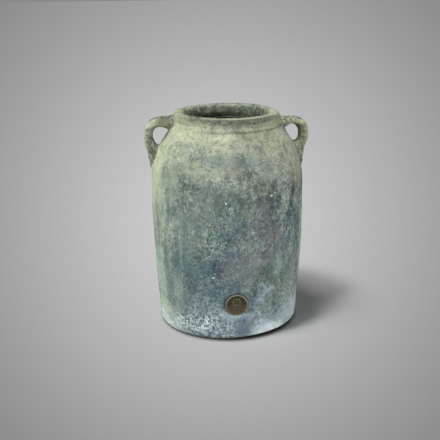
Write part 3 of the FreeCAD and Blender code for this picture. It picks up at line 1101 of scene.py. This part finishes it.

# %% [markdown]
# ## Painted shade at the plate and at the floor
# A ring of painted shade lies close round the plate, and a nearly black line of painted shade runs
# along the foot edge, where it rolls under. A last few patches lie over the crust, blue where the
# ground was wettest and white where the lime dried at the right. The slab wears the same finish as the
# wall.

# %% Last touches on wall and foot
deep_blue = seen(74, 96, 118)
# painted shade: the near-black of the shade where the foot edge rolls under
painted_foot_shade = seen(30, 36, 40)
plate_shade_reach, plate_shade_share = 0.004, 0.65
foot_shade_share = 0.92
# painted shade: a dark ring on the clay close round the plate, standing for the plate's shadow
from_plate = vector_sums(tree, "DISTANCE", place, tuple(plate_centre), output="Value")
painted_shade_round_plate = ramp(tree, from_plate, plate_radius, plate_radius + plate_shade_reach, plate_shade_share, 0)
colour = coat(tree, painted_shade_round_plate, colour, pit_and_shade_dark)
colour = patches(tree, place, colour, (
    (deep_blue, 0.80, 11, 0.028, 0.014, 0.024, 0.02, 70, 0.2),
    (deep_slate, 0.60, -30, 0.010, 0.046, 0.009, 0.02, 60, 0.3),
    (damp_blue, 0.40, 40, 0.036, 0.030, 0.010, 0.02, 60, 0.3),
    (damp_blue, 0.45, -2, 0.026, 0.040, 0.014, 0.03, 60, 0.3),
    (lime_white, 1.00, 35, 0.010, 0.036, 0.013, 0.015, 80, 0.3),
    (pale_blue, 0.50, 30, 0.022, 0.024, 0.010, 0.02, 80, 0.5),
    # painted shade: the next patch widens the foot's painted shade at the front left
    (painted_foot_shade, 0.60, -12, 0.002, 0.060, 0.008, 0.008, 60, 0.3),
    (lime_white, 0.50, -68, 0.020, 0.030, 0.014, 0.02, 60, 0.4)))
# painted shade: the lowest few millimetres of the foot are painted near-black, as the shade under its rolled
# edge
above_foot_shade = mask_from(tree, height_wash, place, Level=0.0062, Spread=0.003, Wander=0.002, Grain=60)
colour = coat(tree, times(tree, opposite(tree, above_foot_shade), foot_shade_share), colour, painted_foot_shade)
end_clay(tree, place, colour, inside_dark)
print("material:", wall_clay.name, len(tree.nodes), "nodes")

# %% [markdown]
# ## The collar's finish
# The collar was handled and rained on most, so its clouds are faint. It is duller and stony at the
# right and yellow-green at the sides. The front of the lip is brown, and along its crest the paint is
# worn through to cream in places at the left, and a thin cream line runs along it at the right.

# %% Material: collar, outside
# moss-green, also used for the painted highlight inside the throat
moss_and_painted_light = seen(184, 192, 148)
stone = seen(150, 150, 130)
lip_brown = seen(84, 89, 73)
crest_level = 0.4348
lip_brown_share, crest_wear_share, crest_line_share = 0.9, 0.35, 0.45

collar_clay, tree, place, colour = start_clay(
    "weathered_clay_collar", Top_Colour=seen(168, 173, 148), Side_Colour=seen(198, 204, 170),
    Cloud_Share=0.25, Hue_Share=0.5)
colour = patches(tree, place, colour, (
    (stone, 0.70, 32, 0.424, 0.075, 0.030, 0.03, 45, 0.6),
    (moss_and_painted_light, 0.50, -78, 0.430, 0.045, 0.020, 0.03, 45, 0.6),
    (moss_and_painted_light, 0.50, 80, 0.434, 0.045, 0.014, 0.02, 45, 0.3),
    (cream, 0.65, -16, 0.421, 0.024, 0.009, 0.02, 60, 0.6),
    (cream, 0.45, -48, 0.423, 0.050, 0.009, 0.02, 60, 0.3),
    (pale_olive, 0.40, 34, 0.420, 0.050, 0.008, 0.02, 60, 0.3),
    (lip_brown, 0.95, 14, 0.4325, 0.064, 0.007, 0.01, 60, 0.3),
    (lip_brown, 0.40, 64, 0.432, 0.034, 0.006, 0.01, 60, 0.3),
    (moss_and_painted_light, 0.40, 68, 0.418, 0.030, 0.008, 0.02, 60, 0.3)))
lip_top = mask_from(tree, height_wash, place, Level=0.427, Spread=0.008, Wander=0.012, Grain=40)
lip_front = mask_from(tree, side_wash, place, Side=(0, -1, 0), From=0.2, To=0.9, Wander=0.4, Grain=20)
colour = coat(tree, times(tree, lip_top, lip_front, lip_brown_share), colour, lip_brown)
colour = patches(tree, place, colour, ((cream, 0.60, -45, 0.412, 0.055, 0.018, 0.03, 45, 0.6),))
crest_wear = mask_from(tree, height_wash, place, Level=crest_level, Spread=0.0012, Wander=0.003, Grain=90)
worn_in_places = mask_from(tree, mottle, place, Scale=45, Detail=5, Contrast=5.0, Level=0.5)
colour = coat(tree, times(tree, crest_wear, worn_in_places, crest_wear_share), colour, cream)
crest_line = mask_from(tree, height_wash, place, Level=crest_level, Spread=0.0004, Wander=0.001, Grain=90)
right_half = mask_from(tree, side_wash, place, **towards_right)
colour = coat(tree, times(tree, crest_line, right_half, crest_line_share), colour, cream)
print("material:", collar_clay.name, "with", len(tree.nodes), "nodes so far")

# %% [markdown]
# ## The throat
# The throat is painted dark with bleached clouds, partly for its damp and partly as painted shade for
# the little light that gets in. At its right lies a yellow-green painted highlight, where the light
# falls in; it is pale at its left and brown at the back. It is painted as a colour of its own, which
# the collar's finish shows on the inner faces.

# %% Material: collar, throat
# partly painted shade: the throat's dark base colour stands for damp and for the little light inside
throat_damp_and_shade = seen(86, 98, 92)
throat_lime = seen(178, 184, 154)
throat_cloud_share = 0.8
throat_cloud = mask_from(tree, mottle, place, Scale=85, Detail=7, Roughness=0.74, Contrast=6.0, Level=0.52)
throat_colour = coat(tree, times(tree, throat_cloud, throat_cloud_share), throat_damp_and_shade, throat_lime)
throat_colour = patches(tree, place, throat_colour, (
    # painted highlight: the yellow-green patch at the right inside, where light falls in
    (moss_and_painted_light, 0.75, 84, 0.432, 0.036, 0.022, 0.02, 60, 0.3),
    (lime_green_and_highlight, 0.60, -104, 0.424, 0.026, 0.008, 0.01, 60, 0.6),
    (lip_brown, 0.50, 150, 0.430, 0.060, 0.016, 0.03, 60, 0.6)))
end_clay(tree, place, colour, throat_colour)
print("material:", collar_clay.name, len(tree.nodes), "nodes")

# %% [markdown]
# ## The handles' finish
# The handles are olive, browner where they leave the collar and cream along the top and the outer
# side. Handles stand off the wall, so bearings don't suit them: their patches are placed by plain
# coordinates instead.

# %% Material: handles
handle_brown = seen(136, 133, 106)
handle_clay, tree, place, colour = start_clay(
    "weathered_clay_handles", Low_Colour=seen(158, 162, 138), Middle_Colour=seen(166, 169, 142),
    Top_Colour=seen(172, 173, 144), Side_Colour=seen(176, 184, 154), Side_Share=0.4, Cloud_Share=0.3,
    Hue_Share=0.2, Blot_Share=0.8)
for paint, share, middle, reach in (
        (handle_brown, 0.85, (-0.122, -0.014, 0.406), (0.026, 0.03, 0.018)),
        (handle_brown, 0.5, (0.146, 0.0, 0.386), (0.010, 0.03, 0.030)),
        (cream, 0.7, (-0.150, 0.0, 0.414), (0.026, 0.03, 0.006)),
        (cream, 0.5, (-0.166, 0.0, 0.392), (0.006, 0.03, 0.030)),
        (cream, 0.6, (0.140, 0.0, 0.412), (0.026, 0.03, 0.005)),
        (cream, 0.5, (0.166, 0.0, 0.385), (0.006, 0.03, 0.028))):
    worn = mask_from(tree, ragged_patch, place, Centre=middle, Reach=reach, Tear=0.01, Grain=60, Broken=0.3)
    colour = coat(tree, times(tree, worn, share), colour, paint)
end_clay(tree, place, colour, inside_dark)
print("material:", handle_clay.name, len(tree.nodes), "nodes")

# %% [markdown]
# ## Dress the clay sections
# Three finishes cover the five clay sections. The foot edge shares the wall's, so that the lime runs
# on over the joint between them.

# %% Put the clay finishes on
for piece, material in (("clay_wall", wall_clay), ("clay_foot", wall_clay), ("clay_collar", collar_clay),
                        ("clay_handle_right", handle_clay), ("clay_handle_left", handle_clay)):
    bpy.data.objects[piece].data.materials.append(material)
    print("%-18s %s" % (piece, material.name))

# %% [markdown]
# ## The plate
# The plate is struck brass that has gone dark. Its rim is painted brighter than the field, and a
# painted highlight makes it brightest at its top; its very edge is black with painted shade. The
# field is brown below and greener above, and a little brassier where the tarnish is worn thin. It
# has a plain ring and a spot in its upper half, and dust lies all over. Where rim and edge start, and
# where they are whole, is told by the distance in from the plate's outside.

# %% Material: struck brass
low_field = seen(88, 80, 68)
high_field = seen(58, 56, 40)
brassy = seen(108, 98, 72)
ring_metal = seen(170, 166, 142)
# painted highlight: the rim's bright paint, which is laid most at its top
rim_and_painted_highlight = seen(176, 172, 158)
# painted shade: the near-black of the plate's outer edge
painted_edge_shade = seen(48, 52, 48)
rim_starts, rim_whole = 0.0034, 0.0020
edge_starts, edge_whole = 0.0011, 0.0003
turns_green_from, turns_green_until = -0.005, 0.003
rim_highlight_low, rim_highlight_high = 0.25, 0.9
rim_highlight_from, rim_highlight_until = -plate_radius * 0.8, plate_radius * 0.7
rings_above_centre = 0.006
brassy_share, edge_shade_share, dust_share = 0.4, 0.85, 0.6
tarnished_roughness, worn_roughness = 0.62, 0.46
hammer_bump, hammer_depth = 0.35, 0.0004
plate_metalness = 0.8

plate_metal, tree, place = start_finish("struck_brass")
from_middle = vector_sums(tree, "SUBTRACT", place, tuple(plate_centre))
across = vector_sums(tree, "LENGTH", from_middle, output="Value")
above_middle = add(tree, "SeparateXYZ", {0: from_middle}).outputs["Z"]
worn_thin = mask_from(tree, mottle, place, Scale=260, Contrast=2.2)
greener = ramp(tree, above_middle, turns_green_from, turns_green_until)
field = coat(tree, greener, low_field, high_field)
colour = coat(tree, times(tree, worn_thin, brassy_share), field, brassy)
rings_middle = tuple(plate_centre + Vector((0, 0, rings_above_centre)))
from_rings = vector_sums(tree, "DISTANCE", place, rings_middle, output="Value")
for ring_radius, ring_width, ring_share in ((0.0070, 0.0013, 0.45), (0.0, 0.0030, 0.40)):
    off_ring = sums(tree, "ABSOLUTE", sums(tree, "SUBTRACT", from_rings, ring_radius))
    colour = coat(tree, ramp(tree, off_ring, 0, ring_width, ring_share, 0), colour, ring_metal)
on_rim = ramp(tree, across, plate_radius - rim_starts, plate_radius - rim_whole)
# painted highlight: the rim is painted brighter towards the top of the plate
rim_highlight_by_height = ramp(tree, above_middle, rim_highlight_from, rim_highlight_until, rim_highlight_low, rim_highlight_high)
colour = coat(tree, times(tree, on_rim, rim_highlight_by_height), colour, rim_and_painted_highlight)
# painted shade: the plate's outer edge is painted nearly black
outer_edge_shade = ramp(tree, across, plate_radius - edge_starts, plate_radius - edge_whole, 0, edge_shade_share)
colour = coat(tree, outer_edge_shade, colour, painted_edge_shade)
dust = mask_from(tree, specks, place, Scale=700, Size=0.35, Share=0.12)
colour = coat(tree, times(tree, dust, dust_share), colour, stone)
rough = ramp(tree, worn_thin, 0, 1, tarnished_roughness, worn_roughness)
hammered = bump(tree, worn_thin, hammer_bump, hammer_depth)
join_shader(tree, colour, rough, {"Metallic": plate_metalness, "Normal": hammered})
print("material:", plate_metal.name, len(tree.nodes), "nodes")

# %% [markdown]
# ## The plate's bed
# A flat plate can't lie on a round wall without a bed of adhesive. Only a thin grey line of it shows
# round the plate's back, so a plain lumpy grey is enough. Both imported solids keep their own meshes.

# %% Material: adhesive
bed_dark = seen(70, 70, 64)
bed_light = seen(96, 96, 88)
bed_roughness = 0.8

bed, tree, place = start_finish("set_adhesive")
lumps = mask_from(tree, mottle, place, Scale=400, Contrast=2)
join_shader(tree, coat(tree, lumps, bed_dark, bed_light), bed_roughness)

for node_name, material in (("metal_plate", plate_metal), ("adhesive_pad", bed)):
    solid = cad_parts[node_name]
    solid.data.materials.clear()
    solid.data.materials.append(material)
print("materials:", plate_metal.name, bed.name)

# %% [markdown]
# ## Where the photograph was taken from
# The camera's place, aim and lens were found by fitting a pinhole camera to the rim, the foot and
# both sides of the jar. They come before the floor, because the grey of the studio falls off evenly
# round the point that the camera looks at, like the pool of a soft spot beside it.

# %% The photographer's stand
stand_height = 0.655
stand_distance = 1.414
aim_down = math.radians(17.53)
aim_left = math.radians(0.63)
tilt = math.radians(-0.76)
to_stand = Vector((-math.sin(camera_turn), -math.cos(camera_turn), 0))
stand = to_stand * stand_distance + Vector((0, 0, stand_height))
stand_turn = (Matrix.Rotation(aim_left - camera_turn, 4, "Z")
              @ Matrix.Rotation(math.pi / 2 - aim_down, 4, "X") @ Matrix.Rotation(tilt, 4, "Z"))
beam = stand_turn @ Vector((0, 0, -1))
print("the stand is at", [round(value, 3) for value in stand])

# %% [markdown]
# ## The studio's grey
# The photograph has a plain grey sweep that is brightest in the middle and darker towards the
# corners. A group gives that grey for any place, by the angle between the way to it and the beam.

# %% Node group: Pool of light
brightest, darkest, widest_angle = 209, 128, 0.5
pool, given, gives = new_group("Pool of light", {"Place": (0, 0, 0)}, {"Colour": "Color"})
away = vector_sums(pool, "NORMALIZE", vector_sums(pool, "SUBTRACT", given["Place"], tuple(stand)))
cosine = vector_sums(pool, "DOT_PRODUCT", away, tuple(beam), output="Value")
greys = add(pool, "ValToRGB", {0: sums(pool, "DIVIDE", sums(pool, "ARCCOSINE", cosine), widest_angle)})
stops = greys.color_ramp.elements
stops[0].color = seen(brightest, brightest, brightest)
stops[1].color = seen(darkest, darkest, darkest)
for angle, grey in ((0.07, 203), (0.14, 193), (0.224, 178), (0.297, 164), (0.40, 143)):
    stops.new(angle / widest_angle).color = seen(grey, grey, grey)
pool.links.new(greys.outputs[0], gives["Colour"])
print("group:", pool.name)

# %% [markdown]
# ## The floor
# A sweep is a sheet that runs on behind the jar without a corner. A curved sheet could be modelled,
# but one flat disc so wide that its rim is out of sight looks the same. It is staging and no part of
# the jar.

# %% Floor
floor_radius, floor_sides = 150, 64
floor_mesh = bpy.data.meshes.new("studio_floor")
rim = [(floor_radius * math.cos(turn), floor_radius * math.sin(turn), 0)
       for turn in np.linspace(0, 2 * math.pi, floor_sides, endpoint=False)]
floor_mesh.from_pydata(rim, [], [tuple(range(floor_sides))])
floor = bpy.data.objects.new("studio_floor", floor_mesh)
bpy.context.scene.collection.objects.link(floor)
print("floor radius", floor_radius, "m")

# %% [markdown]
# ## The floor's finish
# Near the jar the floor is matt, so that it takes the jar's shadow. Its paint is the pool's grey
# divided by the level of the lamps' light, so that it looks as bright as it should. Farther off it
# glows with the same grey and doesn't depend on the lamps. Right under the foot both carry a painted
# shadow that darkens them towards the axis, as if the drawn-in foot edge kept the light out.

# %% Material: grey sweep
pool_level = 1.08
shadow_near, shadow_far = 0.16, 0.27
shadow_middle = (0.10, 0.06, 0)
contact_start, contact_end = 0.131, 0.150
contact_light = 0.05


def looked_at(tree):
    """1 for a ray that the eye follows, straight or by way of a mirror or glass, otherwise 0."""
    ray = add(tree, "LightPath").outputs
    by_way_of = sums(tree, "MAXIMUM", ray["Is Glossy Ray"], ray["Is Transmission Ray"])
    return sums(tree, "MAXIMUM", ray["Is Camera Ray"], by_way_of)


sweep = bpy.data.materials.new("grey_sweep")
sweep.use_nodes = True
tree = sweep.node_tree
tree.nodes.clear()
place = add(tree, "NewGeometry").outputs["Position"]
from_axis = vector_sums(tree, "LENGTH", place, output="Value")
# painted shadow: the floor's grey is darkened towards the axis under the foot
painted_contact_shadow = ramp(tree, from_axis, contact_start, contact_end, contact_light, 1.0)
grey = scaled(tree, use(tree, pool, Place=place)["Colour"], painted_contact_shadow)
matt = add(tree, "BsdfDiffuse", {"Color": scaled(tree, grey, 1 / pool_level)}).outputs[0]
glow = add(tree, "Emission", {"Color": grey}).outputs[0]
from_shadow = vector_sums(tree, "DISTANCE", place, shadow_middle, output="Value")
far = times(tree, ramp(tree, from_shadow, shadow_near, shadow_far), looked_at(tree))
mixed = add(tree, "MixShader", {0: far, 1: matt, 2: glow})
add(tree, "OutputMaterial", {"Surface": mixed.outputs[0]})
floor_mesh.materials.append(sweep)
print("material:", sweep.name, len(tree.nodes), "nodes")

# %% [markdown]
# ## The light
# A high strip at the left models the form and throws the short soft shadow to the right. A low wide
# box at the left brightens that side, and a low card at the right opens the shaded one. The world
# adds a little light from everywhere, and where it is looked at it shows the sweep's dark grey.

# %% World and lamps
even_strength = 0.12
sweep_dark = seen(138, 138, 138)
aim = Vector((0, 0, 0.20))

world = bpy.data.worlds.new("even_light")
bpy.context.scene.world = world
world.use_nodes = True
tree = world.node_tree
tree.nodes.clear()
even = add(tree, "Background", {"Color": (1, 1, 1, 1), "Strength": even_strength}).outputs[0]
behind = add(tree, "Background", {"Color": sweep_dark, "Strength": 1}).outputs[0]
mixed = add(tree, "MixShader", {0: looked_at(tree), 1: even, 2: behind})
add(tree, "OutputWorld", {"Surface": mixed.outputs[0]})


def soft_box(name, bearing, height_angle, distance, wide, tall, watts):
    """A soft lamp, by degrees to the right of the photographer and degrees above the floor."""
    turn, rise = math.radians(bearing) - camera_turn, math.radians(height_angle)
    lamp = bpy.data.lights.new(name, "AREA")
    lamp.shape, lamp.size, lamp.size_y, lamp.energy = "RECTANGLE", wide, tall, watts
    holder = bpy.data.objects.new(name, lamp)
    away = Vector((math.cos(rise) * math.sin(turn), -math.cos(rise) * math.cos(turn), math.sin(rise)))
    holder.location = aim + away * distance
    holder.rotation_euler = away.to_track_quat("Z", "Y").to_euler()
    bpy.context.scene.collection.objects.link(holder)


soft_box("high_strip", bearing=-45, height_angle=73, distance=4.0, wide=0.5, tall=1.7, watts=131)
soft_box("left_box", bearing=-63, height_angle=12, distance=4.8, wide=2.4, tall=1.6, watts=142)
soft_box("right_card", bearing=49, height_angle=6, distance=5.2, wide=3.2, tall=0.9, watts=190)
print("lamps:", ", ".join(sorted(lamp.name for lamp in bpy.data.lights)))

# %% [markdown]
# ## The camera
# The camera goes on the photographer's stand. Its lens is a little longer than a normal one, so the
# jar's sides stay nearly parallel. The plain view transform keeps each colour as it was written.

# %% Camera
sensor_width = 36
focal_length = 58

camera = bpy.data.cameras.new("camera")
camera.sensor_width = sensor_width
camera.lens = focal_length
camera_object = bpy.data.objects.new("camera", camera)
camera_object.matrix_world = Matrix.Translation(stand) @ stand_turn
bpy.context.scene.collection.objects.link(camera_object)
bpy.context.scene.camera = camera_object
bpy.context.scene.view_settings.view_transform = "Standard"
print("lens", camera.lens, "mm")

# %% [markdown]
# ## The packed size
# The skins may dent the clay but not make the jar bigger, so their points were kept inside the packed
# box, which is printed here.

# %% Packed size
print("packed box", np.round(cad_box, 4).tolist())
